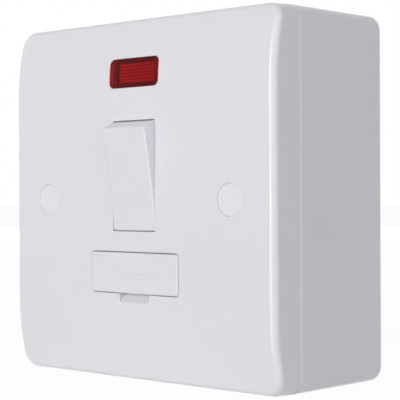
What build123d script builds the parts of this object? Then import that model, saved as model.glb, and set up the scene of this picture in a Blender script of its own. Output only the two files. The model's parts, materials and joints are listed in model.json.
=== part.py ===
from build123d import *
import math
import os

os.makedirs("parts", exist_ok=True)

# A switched fused connection unit with a neon lamp, on its surface box. All sizes are millimetres.
# The shapes are drawn in the wall's own frame: x to the right, y up the wall, z out from the wall.
# Every piece is turned upright when it is saved, so the wall is the plane y = 0 and z is up.

# Front plate
PLATE_WIDTH = 86.0
PLATE_HEIGHT = 86.0
PLATE_THICKNESS = 8.6
PLATE_WALL = 2.5
PLATE_DRAFT = 0.45
CORNER_RADIUS = 4.0
EDGE_RADIUS = 1.7
ROLL_HEIGHT = 17.6
ROLL_RADIUS = 57.0

# Surface box
BOX_DEPTH = 30.0
BOX_WALL = 2.2
BOX_RIM = 0.6
LUG_WIDTH = 9.4
LUG_WEB = 2.4
INSERT_WIDTH = 5.6
INSERT_LENGTH = 4.0
WALL_HOLE_RADIUS = 2.3
WALL_HOLE_SPACING_X = 50.0
WALL_HOLE_SPACING_Z = 58.0
KNOCKOUT_RADIUS = 10.0
TRUNKING_WIDTH = 25.0
TRUNKING_DEPTH = 16.0
KNOCKOUT_SKIN = 1.0

# Fixing screws and their caps
FIXING_CENTRES = 60.3
SCREW_RADIUS = 1.7
SCREW_LENGTH = 25.0
SCREW_HEAD_RADIUS = 3.2
SCREW_HEAD_HEIGHT = 1.7
SCREW_SINK = 0.3
SCREW_HOLE_GAP = 0.3
CAP_RADIUS = 3.65
CAP_THICKNESS = 1.5
CAP_GAP = 0.1
PILLAR_HALF = 4.7

# Rocker
ROCKER_SLOT_WIDTH = 14.0
ROCKER_SLOT_HEIGHT = 26.15
ROCKER_CENTRE = 5.6
ROCKER_RISE = 5.5
ROCKER_TILT = 8.6
ROCKER_WALL = 1.5
ROCKER_SKIRT = 1.8
ROCKER_EDGE_RADIUS = 0.45
ROCKER_DRAFT = 0.25
ROCKER_SET_IN = 0.1
TRUNNION_RADIUS = 1.5
TRUNNION_LENGTH = 2.4
BEARING_WALL = 1.2

# Switch mechanism
POLE_OFFSET = 3.6
PLUNGER_WIDTH = 3.0
PLUNGER_REACH = 9.0
PLUNGER_NOSE_WIDTH = 1.0
PLUNGER_NOSE_LENGTH = 1.6
SOCKET_WALL = 0.65
SPRING_LENGTH = 4.6
SPRING_WIRE = 0.4
SPRING_TURNS = 4
SPRING_SIDES = 10
CONTACT_WIDTH = 4.2
CONTACT_LENGTH = 17.6
CONTACT_THICKNESS = 0.9
CONTACT_SEAT = 0.5
CONTACT_RATIO = 1.25
CONTACT_TIP_WIDTH = 2.6
CONTACT_TIP_HEIGHT = 1.3
FIXED_TIP_WIDTH = 3.0
FIXED_TIP_HEIGHT = 0.6
PIVOT_RIDGE_RADIUS = 0.9
POST_HEIGHT = 7.0
POST_HALF = 1.5
POLE_BARRIER = 8.5
BARRIER_THICKNESS = 1.0
STRIP_THICKNESS = 0.8
STRIP_WIDTH = 4.0
LEG_WIDTH = 2.8
TAB_OFFSET = 5.7
TAB_WIDTH = 3.5

# Fuse and its carrier
FUSE_LENGTH = 25.4
FUSE_RADIUS = 3.15
FUSE_CAP_LENGTH = 6.0
FUSE_SETBACK = 7.2
CARRIER_GAP = 4.78
CARRIER_MARGIN = 1.6
CARRIER_PANEL = 2.4
CARRIER_CHEEK = 1.25
CARRIER_STEP = 0.7
GRIP_WALL = 1.4
FUSE_CAP_WALL = 0.3
CLIP_WIDTH = 5.0
CLIP_THICKNESS = 0.6
NOTCH_WIDTH = 10.2
NOTCH_HEIGHT = 1.9
NOTCH_DEPTH = 1.5

# Neon indicator
NEON_GAP = 7.7
LENS_WIDTH = 16.1
LENS_HEIGHT = 6.7
LENS_FRONT = 1.2
LENS_WALL = 1.1
LENS_FLANGE = 1.0
LENS_LIP = 1.0
LENS_PAD = 1.5
LENS_GAP = 0.15
LENS_RIBS = 6
LAMP_RADIUS = 2.2
LAMP_LENGTH = 11.0
RESISTOR_RADIUS = 1.1
RESISTOR_LENGTH = 6.5
RESISTOR_DROP = 6.0
LEAD_RADIUS = 0.35
LEAD_ROOM = 1.0

# Rear housing and terminals
HOUSING_WALL = 1.6
HOUSING_FLOOR = 2.0
HOUSING_CORNER = 2.2
BOSS_HALF = 2.0
RIB_THICKNESS = 2.0
RIB_HEIGHT = 6.0
CRADLE_THICKNESS = 1.2
CRADLE_WALL = 0.8
HOUSING_SCREW_RADIUS = 1.0
HOUSING_SCREW_LENGTH = 10.0
HOUSING_HEAD_RADIUS = 2.0
HOUSING_HEAD_HEIGHT = 1.5
GUIDE_WALL = 1.5
TERMINAL_WIDTH = 7.0
TERMINAL_LENGTH = 8.0
TERMINAL_DEPTH = 9.0
TERMINAL_X = 15.0
TERMINAL_DROP = 4.0
TERMINAL_ROOF = 1.2
TERMINAL_SCREW_RADIUS = 1.7
TERMINAL_LEDGE = 0.8
WIRE_BORE = 4.0
EARTH_STRIP = 0.6
EARTH_STRIP_WIDTH = 5.2

# Clearances
SLOT_GAP = 0.25
SIDE_GAP = 0.25
END_GAP = 0.2
FIT = 0.05
SEAT = 0.3
CLEAR = 0.2
WIRE_CLEAR = 0.5

# Where things lie, from the wall outwards and from the middle of the plate upwards
FACE = BOX_DEPTH + PLATE_THICKNESS
PLATE_BACK = FACE - PLATE_WALL
FLAT_HALF = PLATE_HEIGHT / 2 - ROLL_HEIGHT
FIXING_X = FIXING_CENTRES / 2

TILT = math.radians(ROCKER_TILT)
ROCKER_END = ROCKER_SLOT_HEIGHT / 2 - END_GAP
ROCKER_FACE_HALF = (ROCKER_END - ROCKER_RISE * math.sin(TILT)) / math.cos(TILT)
PIVOT = FACE - ROCKER_SET_IN - ROCKER_RISE * math.cos(TILT) + ROCKER_FACE_HALF * math.sin(TILT)
ROCKER_SWEEP = math.hypot(ROCKER_FACE_HALF, ROCKER_RISE)
SLOT_SWEEP = math.hypot(ROCKER_SLOT_HEIGHT / 2, FACE - PIVOT)
SLOT_TOP = ROCKER_CENTRE + ROCKER_SLOT_HEIGHT / 2
SLOT_BOTTOM = ROCKER_CENTRE - ROCKER_SLOT_HEIGHT / 2

CARRIER_WIDTH = FUSE_LENGTH + 2 * (CARRIER_CHEEK + 2 * CLEAR)
CARRIER_HEIGHT = 2 * (FUSE_RADIUS + CARRIER_MARGIN)
CARRIER_Y = SLOT_BOTTOM - CARRIER_GAP - SLOT_GAP - CARRIER_HEIGHT / 2
FUSE_Z = FACE - FUSE_SETBACK
TUBE_RADIUS = FUSE_RADIUS - FUSE_CAP_WALL
CLIP_X = (FUSE_LENGTH - FUSE_CAP_LENGTH) / 2
CHEEK_HALF = CARRIER_HEIGHT / 2 - CARRIER_STEP

NEON_Y = SLOT_TOP + NEON_GAP + LENS_GAP + LENS_HEIGHT / 2
LENS_TOP = NEON_Y + LENS_HEIGHT / 2 + LENS_LIP
LEAD_X = ROCKER_SLOT_WIDTH / 2 + TRUNNION_LENGTH + LEAD_ROOM + 2 * SEAT

CONTACT_FRONT = CONTACT_SEAT + CONTACT_THICKNESS
CONTACT_AXIS = PIVOT - PLUNGER_REACH - 0.15 - CONTACT_FRONT
CONTACT_TILT = CONTACT_RATIO * ROCKER_TILT
CONTACT_TIP_Y = CONTACT_LENGTH / 2 - CONTACT_TIP_WIDTH / 2
FLOOR = CONTACT_AXIS - POST_HEIGHT
HOUSING_BACK = FLOOR - HOUSING_FLOOR

HOUSING_HALF_WIDTH = FIXING_X - PILLAR_HALF - 1.2
HOUSING_TOP = LENS_TOP + CLEAR + HOUSING_WALL
TERMINAL_TOP_Y = HOUSING_TOP - HOUSING_WALL - CLEAR - TERMINAL_LENGTH / 2
TERMINAL_LOW_Y = CARRIER_Y - CARRIER_HEIGHT / 2 - TERMINAL_DROP - TERMINAL_LENGTH / 2
HOUSING_BOTTOM = TERMINAL_LOW_Y - TERMINAL_LENGTH / 2 - CLEAR - HOUSING_WALL
WIRE_Z = FLOOR + TERMINAL_DEPTH - WIRE_BORE / 2 - TERMINAL_ROOF
BOSS_TOP_Y = SLOT_TOP + 0.42 * NEON_GAP
BOSS_LOW_Y = SLOT_BOTTOM - 0.55 * CARRIER_GAP
PILOT_END = HOUSING_BACK + HOUSING_SCREW_LENGTH + WIRE_CLEAR

SCREW_TOP = FACE - CAP_THICKNESS - SCREW_SINK
SCREW_TIP = SCREW_TOP - SCREW_LENGTH


def roll_drop(height, inset=0.0):
    """How far the face, or the surface inset behind it, has rolled back at a height on the plate."""
    over = max(0.0, abs(height) - FLAT_HALF)
    radius = ROLL_RADIUS - inset
    return radius - math.sqrt(radius ** 2 - over ** 2)


HOUSING_FRONT = PLATE_BACK - roll_drop(max(HOUSING_TOP, -HOUSING_BOTTOM), PLATE_WALL) - CLEAR
LENS_SEAT = PLATE_BACK - roll_drop(LENS_TOP, PLATE_WALL) - FIT
LENS_BACK = LENS_SEAT - LENS_FLANGE
LAMP_Z = LENS_BACK - 2 * CLEAR - LAMP_RADIUS


def block(x, y, z):
    """A box from its low and high limits along x, y and z."""
    size = Box(x[1] - x[0], y[1] - y[0], z[1] - z[0])
    return Pos((x[0] + x[1]) / 2, (y[0] + y[1]) / 2, (z[0] + z[1]) / 2) * size


def span(middle, half):
    return (middle - half, middle + half)


def post(radius, x, y, z):
    """A cylinder square to the wall, between two distances from it."""
    return Pos(x, y, (z[0] + z[1]) / 2) * Cylinder(radius, z[1] - z[0])


def stud(radius, x, y, z):
    """A small hidden screw or its hole, twelve-sided to save faces, between two distances from the wall."""
    return extrude(Pos(x, y, z[0]) * RegularPolygon(radius, 12), amount=z[1] - z[0])


def rod(radius, x, y, z):
    """A cylinder along x, between two values of x."""
    return Pos((x[0] + x[1]) / 2, y, z) * Rot(0, 90, 0) * Cylinder(radius, x[1] - x[0])


def rounded(width, height, radius, y, z):
    """A rounded slab with its middle at x = 0 and height y, between two distances from the wall."""
    outline = Pos(0, y, z[0]) * RectangleRounded(width, height, radius)
    return extrude(outline, amount=z[1] - z[0])


def turned(shape, degrees, y, z):
    """A shape drawn about its own axis along x, turned and put at that axis."""
    return Pos(0, y, z) * Rot(degrees, 0, 0) * shape


def plate_form(inset):
    """The plate's outer form with its edges still sharp, or with an inset the hollow behind it."""
    radius = ROLL_RADIUS - inset
    face = FACE - inset
    top = PLATE_HEIGHT / 2 + 1.0
    reach = math.asin((top - FLAT_HALF) / radius)
    middle = (FLAT_HALF + radius * math.sin(reach / 2), face - radius * (1 - math.cos(reach / 2)))
    edge = (top, face - radius * (1 - math.cos(reach)))
    side = Line((-FLAT_HALF, face), (FLAT_HALF, face))
    side += ThreePointArc((FLAT_HALF, face), middle, edge)
    side += Line(edge, (top, BOX_DEPTH))
    side += Line((top, BOX_DEPTH), (-top, BOX_DEPTH))
    side += Line((-top, BOX_DEPTH), (-top, edge[1]))
    side += ThreePointArc((-top, edge[1]), (-middle[0], middle[1]), (-FLAT_HALF, face))
    rolled = extrude(Plane.YZ * make_face(side), amount=PLATE_WIDTH, both=True)
    half = PLATE_HEIGHT / 2 - inset
    drafted = trapezoid(half, half - PLATE_DRAFT, BOX_DEPTH, FACE)
    return rolled & extrude(Plane.YZ * drafted, amount=PLATE_WIDTH / 2 - inset, both=True)


def upright_edges(form):
    """The four edges at the plate's corners."""
    return [edge for edge in form.edges() if abs(edge.tangent_at(0.5).Z) > 0.9]


def front_edges(form):
    """The edges around the front of the plate, where the face meets the sides."""
    chosen = []
    for edge in form.edges():
        middle = edge.position_at(0.5)
        outside = abs(middle.X) > PLATE_WIDTH / 2 - CORNER_RADIUS
        outside = outside or abs(middle.Y) > PLATE_HEIGHT / 2 - CORNER_RADIUS
        upright = abs(edge.tangent_at(0.5).Z) > 0.9
        if outside and not upright and middle.Z > BOX_DEPTH + 0.1:
            chosen.append(edge)
    return chosen


def make_front_plate():
    form = plate_form(0)
    form = fillet(upright_edges(form), CORNER_RADIUS)
    plate = fillet(front_edges(form), EDGE_RADIUS) - plate_form(PLATE_WALL)
    margin = 2 * (LENS_LIP + LENS_PAD)
    pad = rounded(LENS_WIDTH + margin, LENS_HEIGHT + margin, 2.0, NEON_Y, (LENS_SEAT, FACE))
    plate += pad & plate_form(PLATE_WALL / 4)
    for side in (-1, 1):
        # the pillar on the left is shorter, since the ring of the earth strip lies under it
        end = BOX_DEPTH + EARTH_STRIP if side < 0 else BOX_DEPTH
        pillar_x = span(side * FIXING_X, PILLAR_HALF)
        plate += block(pillar_x, span(0, PILLAR_HALF), (end, PLATE_BACK + PLATE_WALL / 4))
        ear_x = side * (ROCKER_SLOT_WIDTH / 2 + 0.1 + TRUNNION_LENGTH / 2)
        ear_y = span(ROCKER_CENTRE, TRUNNION_RADIUS + BEARING_WALL)
        plate += block(span(ear_x, TRUNNION_LENGTH / 2), ear_y, (PIVOT + 0.1, PLATE_BACK + 0.5))
    for boss_y in (BOSS_TOP_Y, BOSS_LOW_Y):
        boss_end = PLATE_BACK + PLATE_WALL / 4
        plate += block(span(0, BOSS_HALF), span(boss_y, BOSS_HALF), (FLOOR, boss_end))
        plate -= stud(HOUSING_SCREW_RADIUS + FIT, 0, boss_y, (FLOOR - 1, PILOT_END))
    for side in (-1, 1):
        x = side * FIXING_X
        hole = SCREW_RADIUS + SCREW_HOLE_GAP
        depth = SCREW_HEAD_HEIGHT + SCREW_SINK
        sink = Cone(hole, CAP_RADIUS - CLEAR, depth)
        plate -= post(CAP_RADIUS + CAP_GAP, x, 0, (FACE - CAP_THICKNESS, FACE + 1))
        plate -= Pos(x, 0, FACE - CAP_THICKNESS - depth / 2) * sink
        plate -= post(hole, x, 0, (BOX_DEPTH - 1, FACE - CAP_THICKNESS - depth + FIT))
    bearing = ROCKER_SLOT_WIDTH / 2 + TRUNNION_LENGTH + 1.0
    plate -= rod(TRUNNION_RADIUS + FIT, (-bearing, bearing), ROCKER_CENTRE, PIVOT)
    through = (BOX_DEPTH, FACE + 1)
    # the slot's ends are hollowed about the hinge, so that the rocker's round ends keep one gap all the way
    sweep_x = (-ROCKER_SLOT_WIDTH / 2, ROCKER_SLOT_WIDTH / 2)
    plate -= rod(SLOT_SWEEP, sweep_x, ROCKER_CENTRE, PIVOT) & block(sweep_x, span(0, PLATE_HEIGHT), through)
    slot_width = CARRIER_WIDTH + 2 * SLOT_GAP
    slot_height = CARRIER_HEIGHT + 2 * SLOT_GAP
    plate -= rounded(slot_width, slot_height, 1.0, CARRIER_Y, through)
    plate -= rounded(LENS_WIDTH + 2 * LENS_GAP, LENS_HEIGHT + 2 * LENS_GAP, 1.5, NEON_Y, through)
    return plate - notch(CARRIER_Y - slot_height / 2)


def notch(top):
    """The screwdriver notch: a ramp that is deepest next to the carrier."""
    wide = NOTCH_WIDTH / 2
    narrow = wide - 0.4
    side = Polyline(
        (top + 0.5, FACE + 1),
        (top + 0.5, FACE - NOTCH_DEPTH),
        (top, FACE - NOTCH_DEPTH),
        (top - NOTCH_HEIGHT, FACE),
        (top - NOTCH_HEIGHT, FACE + 1),
        close=True,
    )
    ramp = extrude(Plane.YZ * make_face(side), amount=NOTCH_WIDTH, both=True)
    front = Polyline(
        (-wide, top + 0.5),
        (-wide, top),
        (-narrow, top - NOTCH_HEIGHT),
        (narrow, top - NOTCH_HEIGHT),
        (wide, top),
        (wide, top + 0.5),
        close=True,
    )
    return ramp & extrude(Pos(0, 0, BOX_DEPTH) * make_face(front), amount=PLATE_THICKNESS + 2)


def make_box():
    outer = rounded(PLATE_WIDTH, PLATE_HEIGHT, CORNER_RADIUS, 0, (0, BOX_DEPTH))
    rim = outer.faces().sort_by(Axis.Z)[-1].edges()
    inner_width = PLATE_WIDTH - 2 * BOX_WALL
    inner_height = PLATE_HEIGHT - 2 * BOX_WALL
    inner_corner = max(CORNER_RADIUS - BOX_WALL, 0.5)
    box = chamfer(rim, BOX_RIM)
    box -= rounded(inner_width, inner_height, inner_corner, 0, (BOX_WALL, BOX_DEPTH + 1))
    entry = BOX_WALL - KNOCKOUT_SKIN
    entry_z = span(BOX_DEPTH / 2, TRUNKING_DEPTH / 2)
    for side in (-1, 1):
        inside_y = side * inner_height / 2
        inside_x = side * inner_width / 2
        box -= block(span(0, TRUNKING_WIDTH / 2), span(inside_y, entry), entry_z)
        for entry_y in (-PLATE_HEIGHT / 4, PLATE_HEIGHT / 4):
            box -= block(span(inside_x, entry), span(entry_y, TRUNKING_DEPTH / 2), entry_z)
        lug_x = side * FIXING_X
        web = sorted((lug_x, side * (PLATE_WIDTH / 2 - BOX_WALL / 2)))
        pocket = span(0, INSERT_WIDTH / 2)
        box += block(span(lug_x, LUG_WIDTH / 2), span(0, LUG_WIDTH / 2), (BOX_WALL / 2, BOX_DEPTH))
        box += block(web, span(0, LUG_WEB / 2), (BOX_WALL / 2, BOX_DEPTH - LUG_WEB))
        box -= block(span(lug_x, INSERT_WIDTH / 2), pocket, (BOX_DEPTH - INSERT_LENGTH, BOX_DEPTH + 1))
        box -= post(SCREW_RADIUS + SCREW_HOLE_GAP, lug_x, 0, (SCREW_TIP - BOX_WALL, BOX_DEPTH))
        box -= post(KNOCKOUT_RADIUS, 0, side * PLATE_HEIGHT / 4, (-1, BOX_WALL - KNOCKOUT_SKIN))
        for up in (-1, 1):
            hole = (side * WALL_HOLE_SPACING_X / 2, up * WALL_HOLE_SPACING_Z / 2)
            box -= post(WALL_HOLE_RADIUS, hole[0], hole[1], (-1, BOX_WALL + 1))
    return box


def make_inserts():
    inserts = []
    for side in (-1, 1):
        z = (BOX_DEPTH - INSERT_LENGTH, BOX_DEPTH - CLEAR)
        half = INSERT_WIDTH / 2 - FIT
        insert = block(span(side * FIXING_X, half), span(0, half), z)
        inserts.append(insert - post(SCREW_RADIUS + FIT, side * FIXING_X, 0, (0, BOX_DEPTH)))
    return inserts


def make_fixing_screws():
    screws = []
    for side in (-1, 1):
        x = side * FIXING_X
        head = Cone(SCREW_RADIUS, SCREW_HEAD_RADIUS, SCREW_HEAD_HEIGHT)
        shank = post(SCREW_RADIUS, x, 0, (SCREW_TIP, SCREW_TOP - SCREW_HEAD_HEIGHT))
        screws.append(shank + Pos(x, 0, SCREW_TOP - SCREW_HEAD_HEIGHT / 2) * head)
    return screws


def make_cap(side):
    return post(CAP_RADIUS, side * FIXING_X, 0, (FACE - CAP_THICKNESS, FACE))


def trapezoid(low_half, high_half, low, high):
    """A face centred on its upright axis that goes from one half width to another."""
    points = ((-low_half, low), (low_half, low), (high_half, high), (-high_half, high))
    return make_face(Polyline(*points, close=True))


def make_rocker():
    half = ROCKER_SLOT_WIDTH / 2 - SIDE_GAP
    sides = trapezoid(half, half - ROCKER_DRAFT, -ROCKER_SKIRT, ROCKER_RISE)
    body = extrude(Plane.XZ * sides, amount=ROCKER_SLOT_HEIGHT, both=True)
    body = body & rod(ROCKER_SWEEP, (-half, half), 0, 0)
    body = fillet(body.faces().sort_by(Axis.Z)[-1].edges(), ROCKER_EDGE_RADIUS)
    hollow_x = span(0, half - ROCKER_WALL)
    hollow_y = span(0, ROCKER_FACE_HALF - ROCKER_WALL)
    hollow_top = ROCKER_RISE - ROCKER_WALL
    body -= block(hollow_x, hollow_y, (-ROCKER_SKIRT - 1, hollow_top))
    for side in (-1, 1):
        start = half - ROCKER_WALL / 2
        end = ROCKER_SLOT_WIDTH / 2 + TRUNNION_LENGTH
        body += rod(TRUNNION_RADIUS, sorted((side * start, side * end)), 0, 0)
        outside = PLUNGER_WIDTH / 2 + SOCKET_WALL
        socket_x = span(side * POLE_OFFSET, outside)
        body += block(socket_x, span(0, outside), (-SOCKET_END, hollow_top + FIT))
        inside = PLUNGER_WIDTH / 2 + FIT
        bore_x = span(side * POLE_OFFSET, inside)
        body -= block(bore_x, span(0, inside), (-SOCKET_END - 1, SPRING_TOP))
    return turned(body, ROCKER_TILT, ROCKER_CENTRE, PIVOT)


SOCKET_END = PLUNGER_REACH / 2
SPRING_TOP = ROCKER_RISE - ROCKER_WALL - SOCKET_WALL
PLUNGER_TOP = SPRING_TOP - SPRING_LENGTH


def make_plunger(side):
    """A square pin with a blunt wedge for a nose, which wipes along the see-saw contact."""
    half = PLUNGER_WIDTH / 2
    shoulder = -PLUNGER_REACH + PLUNGER_NOSE_LENGTH
    nose = trapezoid(PLUNGER_NOSE_WIDTH / 2, half, -PLUNGER_REACH, shoulder)
    x = span(side * POLE_OFFSET, half)
    plunger = block(x, span(0, half), (shoulder, PLUNGER_TOP))
    plunger += extrude(Plane.YZ.offset(x[0]) * nose, amount=PLUNGER_WIDTH)
    return turned(plunger, ROCKER_TILT, ROCKER_CENTRE, PIVOT)


def make_spring(side):
    """A coil between the plunger and the end of its socket."""
    radius = PLUNGER_WIDTH / 2 - SPRING_WIRE
    low = PLUNGER_TOP + SPRING_WIRE / 2 + FIT
    rise = (SPRING_TOP - SPRING_WIRE / 2 - FIT - low) / (SPRING_TURNS * SPRING_SIDES)
    points = []
    for step in range(SPRING_TURNS * SPRING_SIDES + 1):
        turn = 2 * math.pi * step / SPRING_SIDES
        points.append((radius * math.cos(turn), radius * math.sin(turn), low + step * rise))
    path = Polyline(*points)
    wire = Plane(origin=path @ 0, z_dir=path % 0, x_dir=(1, 0, 0)) * Rectangle(SPRING_WIRE, SPRING_WIRE)
    spring = Pos(side * POLE_OFFSET, 0, 0) * sweep(wire, path=path, transition=Transition.RIGHT)
    return turned(spring, ROCKER_TILT, ROCKER_CENTRE, PIVOT)


def make_moving_contact(side):
    """A see-saw that rocks on a ridge in the pivot post, tilted against the rocker."""
    x = span(side * POLE_OFFSET, CONTACT_WIDTH / 2)
    contact = block(x, span(0, CONTACT_LENGTH / 2), (CONTACT_SEAT, CONTACT_FRONT))
    contact += rod(PIVOT_RIDGE_RADIUS, x, 0, 0)
    contact += block(x, span(0, PIVOT_RIDGE_RADIUS), (0, CONTACT_SEAT))
    return turned(contact, -CONTACT_TILT, ROCKER_CENTRE, CONTACT_AXIS)


def make_moving_tip(side):
    half = CONTACT_TIP_WIDTH / 2
    x = span(side * POLE_OFFSET, half)
    pad = block(x, span(CONTACT_TIP_Y, half), (CONTACT_SEAT - CONTACT_TIP_HEIGHT, CONTACT_SEAT))
    pad = chamfer(pad.faces().sort_by(Axis.Z)[0].edges(), CONTACT_TIP_HEIGHT / 3)
    return turned(pad, -CONTACT_TILT, ROCKER_CENTRE, CONTACT_AXIS)


def tip_place():
    """Height up the plate of the closed contact, and the distance from the wall of its lowest edge."""
    turn = math.radians(CONTACT_TILT)
    low = CONTACT_SEAT - CONTACT_TIP_HEIGHT
    y = CONTACT_TIP_Y * math.cos(turn) + low * math.sin(turn)
    edge = CONTACT_TIP_Y + CONTACT_TIP_WIDTH / 2
    z = low * math.cos(turn) - edge * math.sin(turn)
    return ROCKER_CENTRE + y, CONTACT_AXIS + z


TIP_Y, TIP_Z = tip_place()
ARM_TOP = TIP_Z - SEAT - FIXED_TIP_HEIGHT


def make_fixed_tips():
    tips = []
    for side in (-1, 1):
        half = FIXED_TIP_WIDTH / 2
        tips.append(block(span(side * POLE_OFFSET, half), span(TIP_Y, half), (ARM_TOP, TIP_Z - SEAT)))
    return tips


def terminal(x, y, depth=TERMINAL_DEPTH):
    """A terminal block on the housing floor, with a tunnel for the wire and a hole for its screw."""
    length = span(y, TERMINAL_LENGTH / 2)
    body = block(span(x, TERMINAL_WIDTH / 2), length, (FLOOR, FLOOR + depth))
    tunnel = block(span(x, WIRE_BORE / 2), span(y, TERMINAL_LENGTH), span(WIRE_Z, WIRE_BORE / 2))
    return body - tunnel - stud(TERMINAL_SCREW_RADIUS + FIT, x, y, (FLOOR - 1, WIRE_Z))


def strip(x, y):
    """A flat strip lying on the housing floor."""
    return block(sorted(x), sorted(y), (FLOOR, FLOOR + STRIP_THICKNESS))


def make_supply_terminal(side):
    body = terminal(side * TERMINAL_X, TERMINAL_TOP_Y)
    arm_z = (ARM_TOP - STRIP_THICKNESS, ARM_TOP)
    half = STRIP_WIDTH / 2
    block_end = TERMINAL_TOP_Y - TERMINAL_LENGTH / 2 + FIT
    inner = side * (POLE_OFFSET - CONTACT_WIDTH / 2)
    across = sorted((inner, side * (TERMINAL_X + half)))
    body += block(span(side * TERMINAL_X, half), (TIP_Y - half, block_end), arm_z)
    return body + block(across, span(TIP_Y, half), arm_z)


def pivot_post(side):
    x = span(side * POLE_OFFSET, CONTACT_WIDTH / 2)
    body = block(x, span(ROCKER_CENTRE, POST_HALF), (FLOOR, CONTACT_AXIS - SEAT))
    groove = span(side * POLE_OFFSET, CONTACT_WIDTH)
    return body - rod(PIVOT_RIDGE_RADIUS + FIT, groove, ROCKER_CENTRE, CONTACT_AXIS)


def fuse_clip(side):
    """A spring clip open to the front, on a stem from the housing floor."""
    inner = FUSE_RADIUS + SEAT
    outer = inner + CLIP_THICKNESS
    leaf = 0.75 * FUSE_RADIUS
    bend = Circle(outer) - Pos(0, outer) * Rectangle(2 * outer + 1, 2 * outer)
    shape = bend + Pos(0, leaf / 2) * Rectangle(2 * outer, leaf)
    shape -= Circle(inner)
    shape -= Pos(0, leaf / 2) * Rectangle(2 * inner, leaf + 1)
    for up in (-1, 1):
        lip = Rot(0, 0, -up * 25) * Pos(0, 0.5) * Rectangle(CLIP_THICKNESS, 1.2)
        shape += Pos(up * (inner + CLIP_THICKNESS / 2), leaf) * lip
    x = span(side * CLIP_X, CLIP_WIDTH / 2)
    clip = extrude(Plane.YZ.offset(x[0]) * Pos(CARRIER_Y, FUSE_Z) * shape, amount=CLIP_WIDTH)
    return clip + block(x, span(CARRIER_Y, 0.6), (FLOOR, FUSE_Z - inner - CLIP_THICKNESS / 2))


STRIP_OUT = POLE_OFFSET + 3.2
STRIP_IN = BOSS_HALF + 1.0
TAB_Y = (ROCKER_CENTRE - TAB_OFFSET - TAB_WIDTH, ROCKER_CENTRE - TAB_OFFSET)
GUIDE_OUT = CARRIER_WIDTH / 2 + CLEAR + GUIDE_WALL


def make_switched_live():
    body = pivot_post(-1) + fuse_clip(-1)
    foot = span(CARRIER_Y, STRIP_WIDTH / 2)
    body += strip((-STRIP_OUT, -STRIP_IN), (foot[0], ROCKER_CENTRE + POST_HALF))
    body += strip((-LEAD_X - LEAD_ROOM, -STRIP_IN), TAB_Y)
    return body + strip((-CLIP_X - CLIP_WIDTH / 2, -STRIP_IN), foot)


def make_load_live():
    body = fuse_clip(1) + terminal(0, TERMINAL_LOW_Y)
    near = CLIP_X - CLIP_WIDTH / 2
    leg = (near, near + LEG_WIDTH)
    foot = span(TERMINAL_LOW_Y, STRIP_WIDTH / 2)
    body += strip(leg, (foot[0], CARRIER_Y + STRIP_WIDTH / 2))
    body += strip((near, CLIP_X + CLIP_WIDTH / 2), span(CARRIER_Y, STRIP_WIDTH / 2))
    return body + strip((TERMINAL_WIDTH / 2 - FIT, leg[1]), foot)


def make_load_neutral():
    body = pivot_post(1) + terminal(TERMINAL_X, TERMINAL_LOW_Y)
    leg = (GUIDE_OUT + 2 * SEAT, GUIDE_OUT + 2 * SEAT + LEG_WIDTH)
    block_end = TERMINAL_LOW_Y + TERMINAL_LENGTH / 2
    body += strip((STRIP_IN, STRIP_OUT), (TAB_Y[0], ROCKER_CENTRE + POST_HALF))
    body += strip((STRIP_IN, leg[1]), TAB_Y)
    body += strip(leg, (block_end, TAB_Y[1]))
    return body + strip((TERMINAL_X, leg[1]), (block_end - FIT, block_end + LEG_WIDTH))


def make_earth_terminal():
    return terminal(-TERMINAL_X, TERMINAL_LOW_Y, BOX_DEPTH - FLOOR)


def make_earth_strap():
    z = (BOX_DEPTH, BOX_DEPTH + EARTH_STRIP)
    half = EARTH_STRIP_WIDTH / 2
    eye = SCREW_RADIUS + SCREW_HOLE_GAP
    strap = block(span(-FIXING_X, eye + half / 2), span(0, eye + half / 2), z)
    strap += block(span(-FIXING_X, half), (TERMINAL_LOW_Y - half, 0), z)
    strap += block((-FIXING_X - half, -TERMINAL_X + TERMINAL_WIDTH / 2), span(TERMINAL_LOW_Y, half), z)
    return strap - post(eye, -FIXING_X, 0, (0, FACE))


TERMINAL_PLACES = (
    (-TERMINAL_X, TERMINAL_TOP_Y),
    (TERMINAL_X, TERMINAL_TOP_Y),
    (-TERMINAL_X, TERMINAL_LOW_Y),
    (0, TERMINAL_LOW_Y),
    (TERMINAL_X, TERMINAL_LOW_Y),
)


def make_terminal_screws():
    screws = []
    for x, y in TERMINAL_PLACES:
        screws.append(stud(TERMINAL_SCREW_RADIUS, x, y, (HOUSING_BACK, WIRE_Z - CLEAR)))
    return screws


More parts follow.
